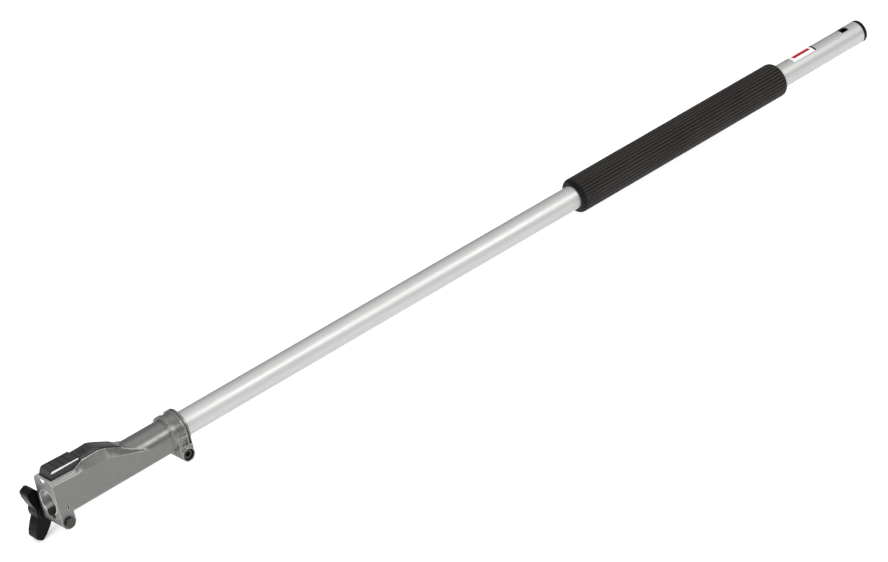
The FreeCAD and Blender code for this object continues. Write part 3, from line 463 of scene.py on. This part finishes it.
def coil_spring():
    """The latch's return spring: 4.5 turns of round wire between the pin's flange and the cover."""
    lo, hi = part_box("latch_spring")
    wire = 0.00035
    cx, cy = (lo[0] + hi[0]) / 2, (lo[1] + hi[1]) / 2
    coil = min(hi[0] - lo[0], hi[1] - lo[1]) / 2 - wire
    z0, z1 = lo[2] + wire, hi[2] - wire
    steps, ring, turns = 216, 12, 4.5
    verts, faces = [], []
    for i in range(steps + 1):
        t = i / steps
        a = 2 * math.pi * turns * t
        z = z0 + (z1 - z0) * t
        out = Vector((math.cos(a), math.sin(a), 0.0))
        along = Vector((-math.sin(a) * coil, math.cos(a) * coil, (z1 - z0) / (2 * math.pi * turns))).normalized()
        up = out.cross(along).normalized()
        c = Vector((cx, cy, z)) + out * coil
        for j in range(ring):
            b = 2 * math.pi * j / ring
            verts.append(c + out * (wire * math.cos(b)) + up * (wire * math.sin(b)))
    for i in range(steps):
        for j in range(ring):
            k = (j + 1) % ring
            faces.append((i * ring + j, i * ring + k, (i + 1) * ring + k, (i + 1) * ring + j))
    faces.append(tuple(range(ring)))
    faces.append(tuple(steps * ring + j for j in range(ring)))
    me_ = bpy.data.meshes.new("latch_spring_coil")
    me_.from_pydata([tuple(v) for v in verts], [], faces)
    bm_ = bmesh.new()
    bm_.from_mesh(me_)
    bmesh.ops.recalc_face_normals(bm_, faces=bm_.faces)
    bm_.to_mesh(me_)
    bm_.free()
    me_.polygons.foreach_set("use_smooth", [True] * len(me_.polygons))
    me_.update()
    ob_ = bpy.data.objects.new("latch_spring_coil", me_)
    scene.collection.objects.link(ob_)
    me_.materials.append(MATS["spring_steel"])
    return ob_, lo, hi


spring, s_lo, s_hi = coil_spring()
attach(spring, "pole")
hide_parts("latch_spring")
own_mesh(spring)

grip = ribbed_grip()
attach(grip, "pole")
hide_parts("foam_grip")


# ------------------------------------------------------------------ camera, light, floor
F_PX = 3351.155
ROWS = ((0.74614819, -0.64249303, -0.17454396), (-0.43536438, -0.27250759, -0.8580195), (0.503707, 0.71619992, -0.48304962))
cam = bpy.data.cameras.new("camera")
cam.sensor_fit = "HORIZONTAL"
cam.sensor_width = 36.0
cam.lens = F_PX * 36.0 / 888.0
cam.clip_start, cam.clip_end = 0.1, 50.0
cam_ob = bpy.data.objects.new("camera", cam)
scene.collection.objects.link(cam_ob)
rx, ry, rz = (Vector(r) for r in ROWS)
rot = Matrix((rx, -ry, -rz)).transposed()
cam_ob.matrix_world = Matrix.Translation(Vector((-1.194516, -2.390347, 1.602897))) @ rot.to_4x4()
scene.camera = cam_ob

scene.view_settings.view_transform = "Standard"
world = bpy.data.worlds.new("studio")
world.use_nodes = True
wt = world.node_tree
bg = wt.nodes["Background"]
# a white studio: a dim band round the horizon under a bright ceiling
wc = wt.nodes.new("ShaderNodeTexCoord")
ws = wt.nodes.new("ShaderNodeSeparateXYZ")
wt.links.new(wc.outputs["Generated"], ws.inputs["Vector"])
wr = wt.nodes.new("ShaderNodeValToRGB")
els = wr.color_ramp.elements
stops = [(0.0, 0.9), (0.50, 0.42), (0.60, 0.50), (0.72, 0.95), (0.88, 1.25), (1.0, 1.05)]
while len(els) < len(stops):
    els.new(0.5)
for el, (p_, v_) in zip(els, stops):
    el.position = p_
    el.color = (v_, v_, v_, 1)
wm = wt.nodes.new("ShaderNodeMapRange")
for k_, v_ in (("From Min", -1.0), ("From Max", 1.0), ("To Min", 0.0), ("To Max", 1.0)):
    wm.inputs[k_].default_value = v_
wt.links.new(ws.outputs["Z"], wm.inputs["Value"])
wt.links.new(wm.outputs["Result"], wr.inputs["Fac"])
wt.links.new(wr.outputs["Color"], bg.inputs[0])
bg.inputs[1].default_value = 0.55
scene.world = world


def area(name, loc, target, size, power, size_y=None, colour=(1, 1, 1)):
    d = bpy.data.lights.new(name, "AREA")
    d.shape = "RECTANGLE"
    d.size, d.size_y = size, size_y or size
    d.energy = power
    d.color = colour
    o = bpy.data.objects.new(name, d)
    scene.collection.objects.link(o)
    o.location = loc
    o.rotation_mode = "QUATERNION"
    o.rotation_quaternion = (Vector(target) - Vector(loc)).to_track_quat("-Z", "Y")
    return o


area("key", (1.45, -1.70, 1.62), (0.45, 0, 0), 1.7, 30, 0.62)
area("top", (0.6, 0.5, 2.9), (0.5, 0, 0), 3.6, 26, 2.6)
area("mouth", (-0.75, -0.35, 0.45), (0.02, 0, 0), 0.5, 5.0, 0.3)

# pale floor, well under the lowest point
bm = bmesh.new()
s_, z_ = 9.0, CAD_LO.z - 0.0008
vs = [bm.verts.new((x * s_, y * s_, z_)) for x, y in ((-1, -1), (1, -1), (1, 1), (-1, 1))]
bm.faces.new(vs)
me = bpy.data.meshes.new("floor")
bm.to_mesh(me)
bm.free()
floor = bpy.data.objects.new("floor", me)
scene.collection.objects.link(floor)
fm = Mat("floor_paper")
fm.set(Roughness=0.9, Specular_IOR_Level=0.1)
fn = fm.noise(3, 2, 0.5)
fm.colour(fm.mixc(fn, "Fac", (0.93, 0.93, 0.93), (0.95, 0.95, 0.95)))
fm.set(Emission_Color=(1.0, 1.0, 1.0, 1.0), Emission_Strength=0.37)
me.materials.append(fm.m)
